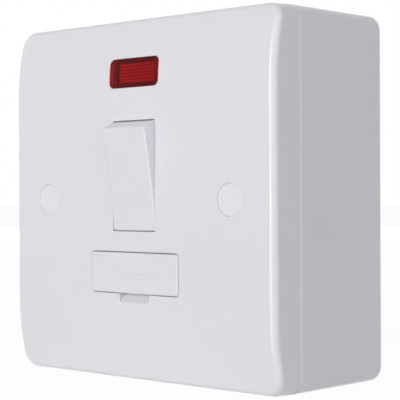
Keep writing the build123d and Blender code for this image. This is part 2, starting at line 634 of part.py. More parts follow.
def make_housing():
    half_x = HOUSING_HALF_WIDTH
    middle = (HOUSING_TOP + HOUSING_BOTTOM) / 2
    tall = HOUSING_TOP - HOUSING_BOTTOM
    body = rounded(2 * half_x, tall, HOUSING_CORNER, middle, (HOUSING_BACK, HOUSING_FRONT))
    hollow = (2 * (half_x - HOUSING_WALL), tall - 2 * HOUSING_WALL)
    inner = HOUSING_CORNER - HOUSING_WALL
    body -= rounded(hollow[0], hollow[1], inner, middle, (FLOOR, HOUSING_FRONT + 1))
    sunk = FLOOR - HOUSING_FLOOR / 4
    for boss_y in (BOSS_TOP_Y, BOSS_LOW_Y):
        body -= stud(HOUSING_SCREW_RADIUS + 2 * FIT, 0, boss_y, (HOUSING_BACK - 1, FLOOR + 1))
    barrier_y = span(ROCKER_CENTRE, CONTACT_LENGTH / 2 + 1)
    body += block(span(0, BARRIER_THICKNESS / 2), barrier_y, (sunk, FLOOR + POLE_BARRIER))
    for side in (-1, 1):
        saddle_x = side * (ROCKER_SLOT_WIDTH / 2 + 0.2 + TRUNNION_LENGTH / 2)
        saddle_y = span(ROCKER_CENTRE, TRUNNION_RADIUS + BEARING_WALL)
        body += block(span(saddle_x, TRUNNION_LENGTH / 2), saddle_y, (sunk, PIVOT - CLEAR / 2))
        guide = sorted((side * (CARRIER_WIDTH / 2 + CLEAR), side * GUIDE_OUT))
        body += block(guide, span(CARRIER_Y, CHEEK_HALF), (sunk, HOUSING_FRONT))
        cradle_x = span(side * LAMP_LENGTH / 3, CRADLE_THICKNESS / 2)
        cradle = block(cradle_x, span(NEON_Y, LAMP_RADIUS + CRADLE_WALL), (sunk, LAMP_Z - CRADLE_WALL))
        body += cradle - rod(LAMP_RADIUS + FIT, (-LAMP_LENGTH, LAMP_LENGTH), NEON_Y, LAMP_Z)
        rib = sorted((side * (TERMINAL_X + TERMINAL_WIDTH / 2 + CLEAR), side * (half_x - HOUSING_WALL / 2)))
        for rib_y in (TERMINAL_TOP_Y, TERMINAL_LOW_Y):
            body += block(rib, span(rib_y, RIB_THICKNESS / 2), (sunk, FLOOR + RIB_HEIGHT))
    reach = ROCKER_SLOT_WIDTH / 2 + TRUNNION_LENGTH + 1
    body -= rod(TRUNNION_RADIUS + FIT, (-reach, reach), ROCKER_CENTRE, PIVOT)
    for x, y in TERMINAL_PLACES:
        seat_x = span(x, TERMINAL_WIDTH / 2 - TERMINAL_LEDGE)
        seat_y = span(y, TERMINAL_LENGTH / 2 - TERMINAL_LEDGE)
        body -= block(seat_x, seat_y, (HOUSING_BACK - 1, FLOOR + FIT))
        wall_y = HOUSING_TOP if y > 0 else HOUSING_BOTTOM
        window = WIRE_BORE / 2 + WIRE_CLEAR
        body -= block(span(x, window), span(wall_y, 1.5 * HOUSING_WALL), span(WIRE_Z, window))
    slot_x = span(-half_x, 1.5 * HOUSING_WALL)
    slot_y = span(TERMINAL_LOW_Y, EARTH_STRIP_WIDTH / 2 + SEAT)
    return body - block(slot_x, slot_y, (BOX_DEPTH - CLEAR, HOUSING_FRONT + 1))


def make_housing_screws():
    screws = []
    for y in (BOSS_TOP_Y, BOSS_LOW_Y):
        tip = HOUSING_BACK + HOUSING_SCREW_LENGTH
        head = stud(HOUSING_HEAD_RADIUS, 0, y, (HOUSING_BACK - HOUSING_HEAD_HEIGHT, HOUSING_BACK))
        screws.append(head + stud(HOUSING_SCREW_RADIUS, 0, y, (HOUSING_BACK - FIT, tip)))
    return screws


def make_carrier():
    panel = rounded(CARRIER_WIDTH, CARRIER_HEIGHT, 0.8, CARRIER_Y, (FACE - CARRIER_PANEL, FACE))
    panel = chamfer(panel.faces().sort_by(Axis.Z)[-1].edges(), 0.15)
    panel_back = FACE - CARRIER_PANEL / 2
    for side in (-1, 1):
        cheek_x = sorted((side * (CARRIER_WIDTH / 2 - CARRIER_CHEEK), side * CARRIER_WIDTH / 2))
        cheek_y = span(CARRIER_Y, CHEEK_HALF)
        panel += block(cheek_x, cheek_y, (FUSE_Z - FUSE_RADIUS - CLEAR, panel_back))
    grip_x = span(0, FUSE_LENGTH / 2 - FUSE_CAP_LENGTH - SEAT)
    grip = block(grip_x, span(CARRIER_Y, TUBE_RADIUS + GRIP_WALL), (FUSE_Z - GRIP_WALL, panel_back))
    return panel + grip - rod(TUBE_RADIUS + FIT, (-CLIP_X, CLIP_X), CARRIER_Y, FUSE_Z)


def make_fuse_tube():
    half = FUSE_LENGTH / 2 - FUSE_CAP_LENGTH
    return rod(TUBE_RADIUS, (-half, half), CARRIER_Y, FUSE_Z)


def make_fuse_caps():
    caps = []
    for side in (-1, 1):
        end = side * FUSE_LENGTH / 2
        caps.append(rod(FUSE_RADIUS, sorted((end - side * FUSE_CAP_LENGTH, end)), CARRIER_Y, FUSE_Z))
    return caps


def make_lens():
    depth = (LENS_BACK, FACE + 1)
    lens = rounded(LENS_WIDTH, LENS_HEIGHT, 1.4, NEON_Y, depth) & plate_form(0)
    lip = 2 * LENS_LIP
    lens += rounded(LENS_WIDTH + lip, LENS_HEIGHT + lip, 1.6, NEON_Y, (LENS_BACK, LENS_SEAT))
    top = FACE - roll_drop(NEON_Y + LENS_HEIGHT / 2) - LENS_FRONT
    hollow_x = span(0, LENS_WIDTH / 2 - 2 * LENS_WALL)
    hollow_y = span(NEON_Y, LENS_HEIGHT / 2 - LENS_WALL)
    lens -= block(hollow_x, hollow_y, (LENS_BACK - 1, top))
    pitch = (hollow_y[1] - hollow_y[0]) / LENS_RIBS
    for number in range(LENS_RIBS):
        low = hollow_y[0] + number * pitch
        ridge = Polyline(
            (low, top + 0.1), (low, top), (low + pitch / 2, top - pitch / 2),
            (low + pitch, top), (low + pitch, top + 0.1), close=True,
        )
        lens += extrude(Plane.YZ.offset(hollow_x[0]) * make_face(ridge), amount=hollow_x[1] - hollow_x[0])
    return lens


def make_lamp():
    return rod(LAMP_RADIUS, span(0, LAMP_LENGTH / 2), NEON_Y, LAMP_Z)


RESISTOR_TOP = NEON_Y - RESISTOR_DROP
RESISTOR_LOW = RESISTOR_TOP - RESISTOR_LENGTH
LEAD_END_Y = sum(TAB_Y) / 2


def make_resistor():
    body = Pos(-LEAD_X, (RESISTOR_TOP + RESISTOR_LOW) / 2, LAMP_Z) * Rot(90, 0, 0)
    return body * Cylinder(RESISTOR_RADIUS, RESISTOR_LENGTH)


def lead(points):
    """A stiff wire along straight runs, bent square at each corner."""
    path = Polyline(*points)
    wire = Plane(origin=path @ 0, z_dir=path % 0) * RegularPolygon(LEAD_RADIUS, 6)
    return sweep(wire, path=path, transition=Transition.RIGHT)


def make_leads():
    end = FLOOR + STRIP_THICKNESS
    lamp_end = LAMP_LENGTH / 2
    right = lead([
        (lamp_end, NEON_Y, LAMP_Z), (LEAD_X, NEON_Y, LAMP_Z),
        (LEAD_X, LEAD_END_Y, LAMP_Z), (LEAD_X, LEAD_END_Y, end),
    ])
    left = lead([
        (-lamp_end, NEON_Y, LAMP_Z), (-LEAD_X, NEON_Y, LAMP_Z), (-LEAD_X, RESISTOR_TOP, LAMP_Z),
    ])
    drop = lead([
        (-LEAD_X, RESISTOR_LOW, LAMP_Z), (-LEAD_X, LEAD_END_Y, LAMP_Z), (-LEAD_X, LEAD_END_Y, end),
    ])
    return [right, left, drop]


PIECES = {
    "pattress_box": make_box(),
    "lug_inserts": make_inserts(),
    "front_plate": make_front_plate(),
    "fixing_screws": make_fixing_screws(),
    "screw_cap_left": make_cap(-1),
    "screw_cap_right": make_cap(1),
    "rocker": make_rocker(),
    "plunger_live": make_plunger(-1),
    "plunger_neutral": make_plunger(1),
    "plunger_spring_live": make_spring(-1),
    "plunger_spring_neutral": make_spring(1),
    "moving_contact_live": make_moving_contact(-1),
    "moving_contact_neutral": make_moving_contact(1),
    "moving_tip_live": make_moving_tip(-1),
    "moving_tip_neutral": make_moving_tip(1),
    "fixed_tips": make_fixed_tips(),
    "supply_live_terminal": make_supply_terminal(-1),
    "supply_neutral_terminal": make_supply_terminal(1),
    "switched_live_strap": make_switched_live(),
    "load_live_terminal": make_load_live(),
    "load_neutral_terminal": make_load_neutral(),
    "earth_terminal": make_earth_terminal(),
    "earth_strap": make_earth_strap(),
    "terminal_screws": make_terminal_screws(),
    "rear_housing": make_housing(),
    "housing_screws": make_housing_screws(),
    "fuse_carrier": make_carrier(),
    "fuse_tube": make_fuse_tube(),
    "fuse_end_caps": make_fuse_caps(),
    "neon_lens": make_lens(),
    "neon_lamp": make_lamp(),
    "neon_resistor": make_resistor(),
    "neon_leads": make_leads(),
}

for name, piece in PIECES.items():
    solids = piece if isinstance(piece, list) else [piece]
    upright = [Rot(90, 0, 0) * solid for solid in solids]
    shape = Compound(children=upright) if len(upright) > 1 else upright[0]
    export_step(shape, f"parts/{name}.step")
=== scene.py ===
import json
import math

import bmesh
import bpy
from mathutils import Matrix, Vector


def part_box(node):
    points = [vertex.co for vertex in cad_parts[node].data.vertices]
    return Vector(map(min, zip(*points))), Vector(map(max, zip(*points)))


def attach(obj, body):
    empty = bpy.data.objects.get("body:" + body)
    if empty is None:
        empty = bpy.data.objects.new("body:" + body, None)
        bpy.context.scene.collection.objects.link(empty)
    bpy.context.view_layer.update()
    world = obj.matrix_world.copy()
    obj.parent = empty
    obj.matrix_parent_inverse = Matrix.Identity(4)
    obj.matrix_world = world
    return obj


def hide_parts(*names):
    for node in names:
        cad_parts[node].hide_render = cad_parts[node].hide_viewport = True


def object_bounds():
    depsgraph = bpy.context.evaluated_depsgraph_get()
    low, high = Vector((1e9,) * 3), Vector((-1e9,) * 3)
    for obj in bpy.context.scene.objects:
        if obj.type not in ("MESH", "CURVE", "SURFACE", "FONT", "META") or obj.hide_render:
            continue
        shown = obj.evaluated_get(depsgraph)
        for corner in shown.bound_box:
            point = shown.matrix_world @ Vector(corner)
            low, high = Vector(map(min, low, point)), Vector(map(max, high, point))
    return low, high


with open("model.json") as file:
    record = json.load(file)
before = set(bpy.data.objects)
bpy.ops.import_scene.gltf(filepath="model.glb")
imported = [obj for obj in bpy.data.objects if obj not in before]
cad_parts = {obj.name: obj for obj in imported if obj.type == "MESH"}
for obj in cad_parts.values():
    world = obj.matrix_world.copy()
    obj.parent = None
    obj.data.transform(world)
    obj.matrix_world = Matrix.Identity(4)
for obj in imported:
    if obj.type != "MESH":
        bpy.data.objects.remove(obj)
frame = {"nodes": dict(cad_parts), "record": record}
solid_box = [list(corner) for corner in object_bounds()]
bpy.ops.object.select_all(action="DESELECT")

MM = 0.001

# Materials
NODE_TYPES = {
    "axes": "ShaderNodeSeparateXYZ",
    "bump": "ShaderNodeBump",
    "map": "ShaderNodeMapping",
    "math": "ShaderNodeMath",
    "mix": "ShaderNodeMix",
    "noise": "ShaderNodeTexNoise",
    "place": "ShaderNodeTexCoord",
    "range": "ShaderNodeMapRange",
    "wave": "ShaderNodeTexWave",
}
# The colour sockets of a mix node have the names of its other sockets, so they are known by number
MIX_FIRST = 6
MIX_SECOND = 7
MIX_RESULT = 2


class Finish:
    """A material under construction: its nodes, its shader and the places on the piece that they read."""

    def __init__(self, name):
        self.material = bpy.data.materials.new(name)
        self.material.use_nodes = True
        self.nodes = self.material.node_tree.nodes
        self.links = self.material.node_tree.links
        self.shader = self.nodes["Principled BSDF"]
        self.place = self.add("place").outputs["Object"]

    def add(self, kind, **values):
        """A new node of a kind, with its settings."""
        node = self.nodes.new(NODE_TYPES[kind])
        for key, value in values.items():
            setattr(node, key, value)
        return node

    def join(self, start, end):
        """A link from one socket to another."""
        self.links.new(start, end)

    def feed(self, value, name):
        """A link from a socket to one of the shader's own."""
        self.join(value, self.shader.inputs[name])

    def set(self, **values):
        """Plain values on the shader's own sockets."""
        for key, value in values.items():
            self.shader.inputs[key.replace("_", " ")].default_value = value

    def noise(self, waves, detail=2.0, rough=0.5, stretch=None):
        """Noise of so many waves in a metre, drawn out along an axis where stretch says so."""
        node = self.add("noise")
        node.inputs["Scale"].default_value = waves
        node.inputs["Detail"].default_value = detail
        node.inputs["Roughness"].default_value = rough
        place = self.place
        if stretch:
            mapping = self.add("map")
            mapping.inputs["Scale"].default_value = stretch
            self.join(place, mapping.inputs["Vector"])
            place = mapping.outputs["Vector"]
        self.join(place, node.inputs["Vector"])
        return node.outputs["Fac"]

    def spread(self, fac, low=0, high=1, start=0.3, end=0.7):
        """A value that goes from low to high where the other value goes from start to end."""
        node = self.add("range")
        node.inputs["From Min"].default_value = start
        node.inputs["From Max"].default_value = end
        node.inputs["To Min"].default_value = low
        node.inputs["To Max"].default_value = high
        self.join(fac, node.inputs["Value"])
        return node.outputs["Result"]

    def tint(self, fac, first, second):
        """A colour between two colours."""
        node = self.add("mix", data_type="RGBA")
        node.inputs[MIX_FIRST].default_value = (*first, 1)
        node.inputs[MIX_SECOND].default_value = (*second, 1)
        self.join(fac, node.inputs["Factor"])
        return node.outputs[MIX_RESULT]

    def cover(self, fac, colour, tone):
        """A colour from another node, which gives way to a tone."""
        node = self.add("mix", data_type="RGBA")
        node.inputs[MIX_SECOND].default_value = (*tone, 1)
        self.join(fac, node.inputs["Factor"])
        self.join(colour, node.inputs[MIX_FIRST])
        return node.outputs[MIX_RESULT]

    def bump(self, height, depth):
        """A relief of so many metres, on top of the relief that is already there."""
        node = self.add("bump")
        node.inputs["Distance"].default_value = depth
        self.join(height, node.inputs["Height"])
        normal = self.shader.inputs["Normal"]
        if normal.links:
            self.join(normal.links[0].from_socket, node.inputs["Normal"])
        self.join(node.outputs["Normal"], normal)


def dimmed(colour, share):
    """A colour with only a share of its brightness."""
    return tuple(share * part for part in colour)


CLEAR_IOR = 1.5


def moulded_white(name, colour, gloss):
    """Glossy moulded plastic: a faint cloudiness, uneven gloss and the slight ripple of a mould."""
    finish = Finish(name)
    cloud = finish.spread(finish.noise(waves=35), start=0.2, end=0.8)
    finish.feed(finish.tint(cloud, dimmed(colour, 0.985), colour), "Base Color")
    patches = finish.noise(waves=300, detail=3)
    finish.feed(finish.spread(patches, low=gloss, high=gloss + 0.06, start=0.2, end=0.8), "Roughness")
    finish.bump(finish.noise(waves=110, detail=1), depth=0.008 * MM)
    finish.bump(finish.noise(waves=2800), depth=0.0006 * MM)
    finish.set(IOR=CLEAR_IOR)
    return finish.material


# The lens: lengths in millimetres from its middle, as the start and the end of a change of colour
LENS_RIB_PITCH = 0.75
LENS_BORDER = (2.2, 2.4)
# Painted light: from this reach out to its ends the lens is painted bright, for light that comes in
# through its end walls
LENS_PAINTED_LIGHT_END = (6.7, 7.0)
LENS_FROST = (7.95, 8.0)
# Painted shade in the darker stripes and painted light in the lighter ones, for light bent by the ribbing
LENS_RIB_PAINTED_SHADE = (0.25, 0.0005, 0.002)
LENS_RIB_PAINTED_LIGHT = (0.42, 0.0008, 0.004)
LENS_BORDER_TONE = (0.5, 0.0006, 0.025)
# The bright red of the painted light at the lens's ends
LENS_PAINTED_LIGHT_END_TONE = (0.97, 0.015, 0.01)
LENS_SHINE = (0.3, 0.01, 0.01, 1)
# At a scale of one, a wave texture has twenty waves in a length of tau
WAVES_IN_TAU = 20


def red_lens(name):
    """Clear red plastic with painted light and shade: stripes painted darker and lighter at the rib pitch
    for the light that the ribbing behind bends, brighter at its border, with frosted ends, and painted
    bright towards its ends for light that comes in through the end walls.
    """
    finish = Finish(name)
    low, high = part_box("neon_lens")
    centred = finish.add("map")
    centred.inputs["Location"].default_value = (0, 0, -(low[2] + high[2]) / 2)
    finish.join(finish.place, centred.inputs["Vector"])
    # Stripes at the rib pitch: painted light and shade for light bent by the ribbing
    rib_shading_wave = finish.add("wave", bands_direction="Z")
    rib_shading_wave.inputs["Scale"].default_value = math.tau / (WAVES_IN_TAU * LENS_RIB_PITCH * MM)
    finish.join(centred.outputs["Vector"], rib_shading_wave.inputs["Vector"])
    axes = finish.add("axes")
    finish.join(centred.outputs["Vector"], axes.inputs[0])

    def beyond(axis, reach):
        """A value that goes from nothing to one between two distances from the lens's middle."""
        distance = finish.add("math", operation="ABSOLUTE")
        finish.join(axes.outputs[axis], distance.inputs[0])
        return finish.spread(distance.outputs[0], start=reach[0] * MM, end=reach[1] * MM)

    # Where the stripes go from painted shade to painted light
    rib_light_share = finish.spread(rib_shading_wave.outputs["Fac"], start=0.1, end=0.75)
    colour = finish.tint(rib_light_share, LENS_RIB_PAINTED_SHADE, LENS_RIB_PAINTED_LIGHT)
    colour = finish.cover(beyond("Z", LENS_BORDER), colour, LENS_BORDER_TONE)
    # The lens's ends are painted bright: painted light for light that comes in through the end walls
    colour = finish.cover(beyond("X", LENS_PAINTED_LIGHT_END), colour, LENS_PAINTED_LIGHT_END_TONE)
    finish.feed(colour, "Base Color")
    clearness = finish.spread(beyond("X", LENS_FROST), low=0.88, high=0, start=0, end=1)
    finish.feed(clearness, "Transmission Weight")
    finish.feed(finish.spread(finish.noise(waves=900, detail=3), low=0.02, high=0.05), "Roughness")
    finish.set(IOR=CLEAR_IOR, Specular_Tint=LENS_SHINE)
    return finish.material


def dull_plastic(name, colour):
    """Dull moulded plastic with fine filler specks."""
    finish = Finish(name)
    speck = finish.spread(finish.noise(waves=2600, detail=4, rough=0.7), start=0.45, end=0.65)
    finish.feed(finish.tint(speck, dimmed(colour, 0.86), colour), "Base Color")
    finish.feed(finish.spread(finish.noise(waves=600, detail=3), low=0.42, high=0.6), "Roughness")
    finish.bump(finish.noise(waves=1800, detail=3), depth=0.006 * MM)
    return finish.material


def metal(name, colour, shine, grain=(1, 1, 1)):
    """Pressed or drawn metal with a grain, small tarnish clouds and fine scratches."""
    finish = Finish(name)
    tarnish = finish.spread(finish.noise(waves=380, detail=5, rough=0.6), start=0.35)
    finish.feed(finish.tint(tarnish, colour, dimmed(colour, 0.72)), "Base Color")
    lines = finish.noise(waves=2400, detail=3, rough=0.6, stretch=grain)
    finish.feed(finish.spread(lines, low=shine, high=shine + 0.2), "Roughness")
    finish.bump(lines, depth=0.004 * MM)
    finish.set(Metallic=1.0)
    return finish.material


def glazed(name, colour):
    """White fired tube with a thin glaze and pinholes."""
    finish = Finish(name)
    pinholes = finish.noise(waves=1500, detail=4, rough=0.7)
    finish.feed(finish.tint(finish.spread(pinholes, end=0.5), dimmed(colour, 0.8), colour), "Base Color")
    finish.feed(finish.spread(finish.noise(waves=700), low=0.12, high=0.3), "Roughness")
    finish.bump(pinholes, depth=0.006 * MM)
    finish.set(Coat_Weight=0.4)
    return finish.material


def lamp_glass(name):
    """Thin clear glass with drawn streaks."""
    finish = Finish(name)
    streak = finish.spread(finish.noise(waves=500, stretch=(0.1, 1, 1)))
    finish.feed(finish.tint(streak, (0.95, 0.88, 0.84), (0.98, 0.95, 0.93)), "Base Color")
    finish.feed(finish.spread(finish.noise(waves=900), low=0.01, high=0.06), "Roughness")
    finish.set(IOR=CLEAR_IOR, Transmission_Weight=0.85)
    return finish.material


def lacquered(name, colour):
    """Lacquered resistor body with a mottled coat."""
    finish = Finish(name)
    mottle = finish.spread(finish.noise(waves=1300, detail=4, rough=0.6))
    finish.feed(finish.tint(mottle, dimmed(colour, 0.75), colour), "Base Color")
    finish.feed(finish.spread(finish.noise(waves=800), low=0.25, high=0.4), "Roughness")
    finish.bump(finish.noise(waves=1300, detail=3), depth=0.01 * MM)
    return finish.material


PLATE_COLOUR = (0.80, 0.797, 0.82)
BOX_COLOUR = (0.78, 0.775, 0.80)
CAP_COLOUR = (0.83, 0.83, 0.845)
ROLLED_GRAIN = (0.15, 1, 1)

finishes = {
    "plate_white": moulded_white("plate moulding", PLATE_COLOUR, gloss=0.1),
    "box_white": moulded_white("box moulding", BOX_COLOUR, gloss=0.14),
    "rocker_white": moulded_white("rocker moulding", PLATE_COLOUR, gloss=0.13),
    "carrier_white": moulded_white("carrier moulding", PLATE_COLOUR, gloss=0.15),
    "cap_white": moulded_white("screw cap moulding", CAP_COLOUR, gloss=0.22),
    "lens_red": red_lens("clear red plastic"),
    "housing_grey": dull_plastic("grey thermoset", colour=(0.62, 0.62, 0.61)),
    "plunger_nylon": dull_plastic("natural nylon", colour=(0.82, 0.8, 0.74)),
    "brass": metal("rolled brass", colour=(0.72, 0.5, 0.2), shine=0.22, grain=ROLLED_GRAIN),
    "steel": metal("plated steel", colour=(0.62, 0.62, 0.62), shine=0.2),
    "spring_steel": metal("spring wire", colour=(0.45, 0.45, 0.47), shine=0.25),
    "silver": metal("contact silver", colour=(0.8, 0.79, 0.77), shine=0.3),
    "ceramic": glazed("fired ceramic", colour=(0.84, 0.81, 0.74)),
    "lamp_glass": lamp_glass("lamp glass"),
    "resistor_tan": lacquered("resistor lacquer", colour=(0.55, 0.38, 0.2)),
}


def dress(piece, slot_name):
    """The piece gets one finish all over."""
    piece.data.materials.clear()
    piece.data.materials.append(finishes[slot_name])


for part in frame["record"]["subparts"]:
    dress(frame["nodes"][part["node"]], part["material_slot"])

# Shaping by hand: angles in degrees, lengths in millimetres
SMOOTH_ANGLE = 32
FLAT_ANGLE = 0.4
EVEN_WEIGHT = 90
MERGE_REACH = 0.0005
SHARP_TURN = 28.65
LOOK_SHARE = 0.99
HOLLOW_TAPER = 0.05
TOWARDS_WALL = Vector((0, 1, 0))


def work_on(piece):
    """Any editing ends, and the piece alone is chosen and active."""
    if bpy.context.mode != "OBJECT":
        bpy.ops.object.mode_set(mode="OBJECT")
    bpy.ops.object.select_all(action="DESELECT")
    piece.select_set(True)
    bpy.context.view_layer.objects.active = piece


def pick(piece, kind, wanted=None):
    """The piece is open for editing, with only the wanted points, edges or faces chosen, or else all."""
    work_on(piece)
    bpy.ops.object.mode_set(mode="EDIT")
    bpy.ops.mesh.select_mode(type=kind)
    bpy.ops.mesh.select_all(action="DESELECT")
    form = bmesh.from_edit_mesh(piece.data)
    for element in {"VERT": form.verts, "EDGE": form.edges, "FACE": form.faces}[kind]:
        if wanted is None or wanted(element):
            element.select_set(True)
    form.select_flush_mode()
    bmesh.update_edit_mesh(piece.data)


def put_down(piece):
    """Editing ends, only sharp edges stay sharp, and flat faces look flat up to their round edges."""
    work_on(piece)
    bpy.ops.object.shade_smooth_by_angle(angle=math.radians(SMOOTH_ANGLE))
    even = piece.modifiers.new("even shading", "WEIGHTED_NORMAL")
    even.keep_sharp = True
    even.weight = EVEN_WEIGHT
    bpy.ops.object.modifier_apply(modifier=even.name)


def start(name, size=None):
    """The primitive just added gets its name and size, and its place goes into its mesh."""
    piece = bpy.context.object
    piece.name = name
    piece.data.name = name
    if size:
        piece.scale = Vector(size) * MM
    bpy.ops.object.transform_apply(location=True, rotation=True, scale=True)
    return piece


def linked(name, mesh):
    """A new object with a mesh of its own, in the scene."""
    piece = bpy.data.objects.new(name, mesh)
    piece.data.name = name
    bpy.context.scene.collection.objects.link(piece)
    return piece


def merged_copy(node, name):
    """A copy of a solid to shape further, its triangles merged and its flat faces made whole."""
    piece = linked(name, frame["nodes"][node].data.copy())
    work_on(piece)
    bpy.ops.mesh.customdata_custom_splitnormals_clear()
    pick(piece, "VERT")
    bpy.ops.mesh.remove_doubles(threshold=MERGE_REACH * MM)
    bpy.ops.mesh.dissolve_limited(angle_limit=math.radians(FLAT_ANGLE))
    return piece


def merged(first, *others):
    """Several pieces become one, with the first one's name."""
    work_on(first)
    for piece in others:
        piece.select_set(True)
    bpy.ops.object.join()


def belongs(piece, body, slot_name, *nodes):
    """The piece moves with a body, has a slot of the record and stands for the solids that are named."""
    dress(piece, slot_name)
    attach(piece, body)
    if nodes:
        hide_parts(*nodes)


def near(value, target, reach=0.02):
    """Whether a length in metres is a target in millimetres."""
    return abs(value / MM - target) < reach


def sharp(edge):
    """Whether the faces at an edge turn by much."""
    return edge.calc_face_angle(0) > math.radians(SHARP_TURN)


def move(*way):
    """What is chosen moves by so many millimetres."""
    bpy.ops.transform.translate(value=Vector(way) * MM)


def round_edges(size, segments):
    """The chosen edges are rounded."""
    bpy.ops.mesh.bevel(offset=size * MM, segments=segments, affect="EDGES")


def inset(margin, rise=0):
    """The chosen faces shrink by a margin and rise, or sink."""
    bpy.ops.mesh.inset(thickness=margin * MM, depth=rise * MM)


def hollow(piece, direction, wall, depth, taper=HOLLOW_TAPER):
    """The flat face that looks in a direction is hollowed, and a wall is left around it."""
    pick(piece, "FACE", lambda face: face.normal.dot(direction) > LOOK_SHARE)
    inset(wall)
    inset(taper, -depth)


# Box and plate, in millimetres: where the source has their edges, and what is changed there
FACE = 38.6
BOX_DEPTH = 30.0
OUTER_RING = 41.3
RIM_BEVEL = 0.6
RIM_ROUND = 0.3
BACK_ROUND = 0.4
NOTCH_HALF = 5.3
NOTCH_FLOOR = FACE - 1.5
NOTCH_FLOOR_REACH = 0.03
NOTCH_BOTTOM = -22.9
NOTCH_TOP = -21.6
NOTCH_DEEPER = 0.7


def around(point):
    """Whether a point lies in the outer ring of the unit, seen from the front."""
    return max(abs(point.co.x), abs(point.co.z)) > OUTER_RING * MM


def on_rim(edge):
    """Whether an edge of the box is one of the two around the bevel that meets the plate."""
    first, second = edge.verts
    if not sharp(edge) or not near(first.co.y, second.co.y / MM):
        return False
    return all(around(point) and (near(point.co.y, -BOX_DEPTH) or near(point.co.y, RIM_BEVEL - BOX_DEPTH))
               for point in edge.verts)


def on_back(edge):
    """Whether an edge of the plate runs around its back."""
    return sharp(edge) and all(around(point) and near(point.co.y, -BOX_DEPTH) for point in edge.verts)


def on_notch_floor(point):
    """Whether a point of the plate lies on the notch's floor."""
    return (abs(point.co.x) < NOTCH_HALF * MM and near(point.co.y, -NOTCH_FLOOR, NOTCH_FLOOR_REACH)
            and NOTCH_BOTTOM * MM < point.co.z < NOTCH_TOP * MM)


def wall_box():
    """The box of the solid, with a round rim in place of the bevel that meets the plate."""
    piece = merged_copy("pattress_box", "pattress_box_moulding")
    pick(piece, "EDGE", on_rim)
    round_edges(RIM_ROUND, segments=3)
    put_down(piece)
    return piece


def plate():
    """The plate of the solid, with a round back edge and a deeper notch."""
    piece = merged_copy("front_plate", "front_plate_moulding")
    pick(piece, "EDGE", on_back)
    round_edges(BACK_ROUND, segments=3)
    pick(piece, "VERT", on_notch_floor)
    move(0, NOTCH_DEEPER, 0)
    put_down(piece)
    return piece


belongs(wall_box(), "unit", "box_white", "pattress_box")
belongs(plate(), "unit", "plate_white", "front_plate")

# Screw caps, in millimetres
CAP_X = 30.15
CAP_RADIUS = 3.71
CAP_THICK = 1.48
CAP_ROUND = 0.16
CAP_RIM = 0.55
CAP_HOLLOW = 0.75
CAP_TAPER = 0.1


def screw_cap():
    """A push-in disc: round front edge, and a shallow hollow with a thin rim behind."""
    middle = Vector((-CAP_X, CAP_THICK / 2 - FACE, 0)) * MM
    bpy.ops.mesh.primitive_cylinder_add(vertices=96, radius=CAP_RADIUS * MM, depth=CAP_THICK * MM,
                                        location=middle, rotation=(math.pi / 2, 0, 0))
    cap = start("screw_cap_disc_left")
    pick(cap, "EDGE", lambda edge: all(near(point.co.y, -FACE) for point in edge.verts))
    round_edges(CAP_ROUND, segments=4)
    hollow(cap, TOWARDS_WALL, CAP_RIM, CAP_HOLLOW, CAP_TAPER)
    put_down(cap)
    return cap


left_cap = screw_cap()
right_cap = linked("screw_cap_disc_right", left_cap.data.copy())
pick(right_cap, "VERT")
move(2 * CAP_X, 0, 0)
put_down(right_cap)
belongs(left_cap, "unit", "cap_white", "screw_cap_left")
belongs(right_cap, "unit", "cap_white", "screw_cap_right")

# Rocker, in millimetres: its hinge, tilt and ends are the source's, its width and dish the photograph's
HINGE = Vector((0, -34.8846, 5.6)) * MM
ROCKER_TILT = math.radians(8.6)
OUTWARD = Vector((0, -math.cos(ROCKER_TILT), -math.sin(ROCKER_TILT)))
UPWARD = Vector((0, -math.sin(ROCKER_TILT), math.cos(ROCKER_TILT)))
ROCKER_RISE = 5.5
ROCKER_BACK = -1.8
ROCKER_SWEEP = 13.373
ROCKER_HALF = 6.97
ROCKER_DISH = 0.4
ROCKER_WALL = 1.5
ROCKER_HOLLOW = 5.8
ROCKER_ROUND = 0.42
ROCKER_MERGE_REACH = 0.002
DISH_STEPS = 12
TRUNNION_X = 7.8
TRUNNION_RADIUS = 1.5
TRUNNION_LENGTH = 3.2
TRUNNION_END = TRUNNION_X + TRUNNION_LENGTH / 2
TRUNNION_ROUND = 0.25
SOCKET_X = 3.6
SOCKET_OUT = -0.2
SOCKET_SIZE = (4.3, 8.6, 4.3)
SOCKET_WALL = 0.6
SOCKET_DEPTH = 7.85


def on_rocker(x, out):
    """A place on the rocker's middle line: to the right, and out from the hinge square to the face."""
    return HINGE + Vector((x * MM, 0, 0)) + OUTWARD * (out * MM)


def out_from_hinge(point):
    """How far a point lies out from the hinge, square to the rocker's face, in metres."""
    return (point.co - HINGE).dot(OUTWARD)


def cut(piece, place, direction, **side):
    """The piece is cut by a plane; the sides named there say which half goes, if any."""
    pick(piece, "FACE")
    bpy.ops.mesh.bisect(plane_co=place, plane_no=direction, **side)


def dish(piece):
    """The rocker's face is split along its length and sunk to a shallow arc, deepest in the middle."""
    half = math.sqrt(ROCKER_SWEEP ** 2 - ROCKER_RISE ** 2)
    lines = [half * (2 * step / DISH_STEPS - 1) for step in range(1, DISH_STEPS)]
    for along in lines:
        cut(piece, HINGE + UPWARD * (along * MM), UPWARD)
    for along in lines:
        pick(piece, "VERT", lambda point: near((point.co - HINGE).dot(UPWARD), along)
             and near(out_from_hinge(point), ROCKER_RISE))
        move(*(-OUTWARD * (ROCKER_DISH * (1 - (along / half) ** 2))))


def on_rocker_front(edge):
    """Whether a rocker's edge shows from the front: around its face, or at the sides of its ends."""
    return sharp(edge) and all(
        not near(out_from_hinge(point), ROCKER_BACK)
        and (near(abs(point.co.x), ROCKER_HALF) or near(out_from_hinge(point), ROCKER_RISE))
        for point in edge.verts)


